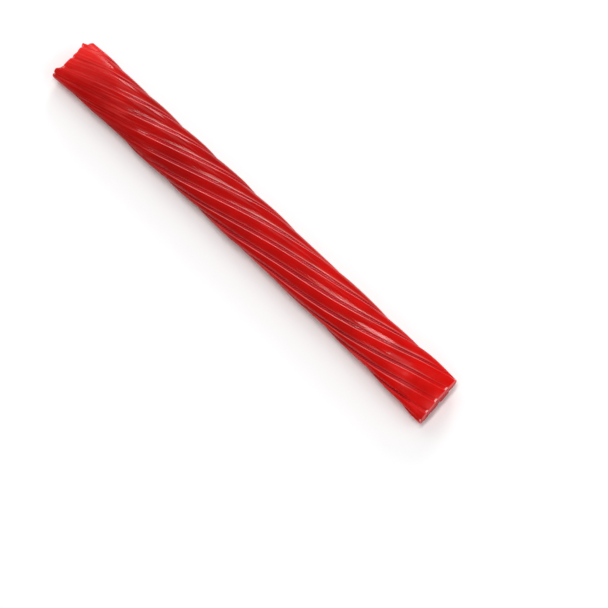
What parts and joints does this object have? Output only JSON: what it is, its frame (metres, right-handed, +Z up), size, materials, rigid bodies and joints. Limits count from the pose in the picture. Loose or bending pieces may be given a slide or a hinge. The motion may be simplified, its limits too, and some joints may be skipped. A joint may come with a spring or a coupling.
{
  "type": "red licorice twist",
  "caption": "Soft red licorice candy: one low oval rope of rounded ridges in a gentle left-handed twist, pressed wide and thin at both cut ends.",
  "frame": {"origin": "middle of the flat underside on which the twist rests", "axes": "+X along the twist towards its wider end, +Y across it, +Z up"},
  "size_m": [0.1408, 0.0156, 0.0083],
  "materials": {
    "red_licorice": "glossy translucent red candy with finely hatched channels and duller, paler cut ends"
  },
  "bodies": {
    "root": {"licorice_twist": "red_licorice"}
  },
  "joints": []
}
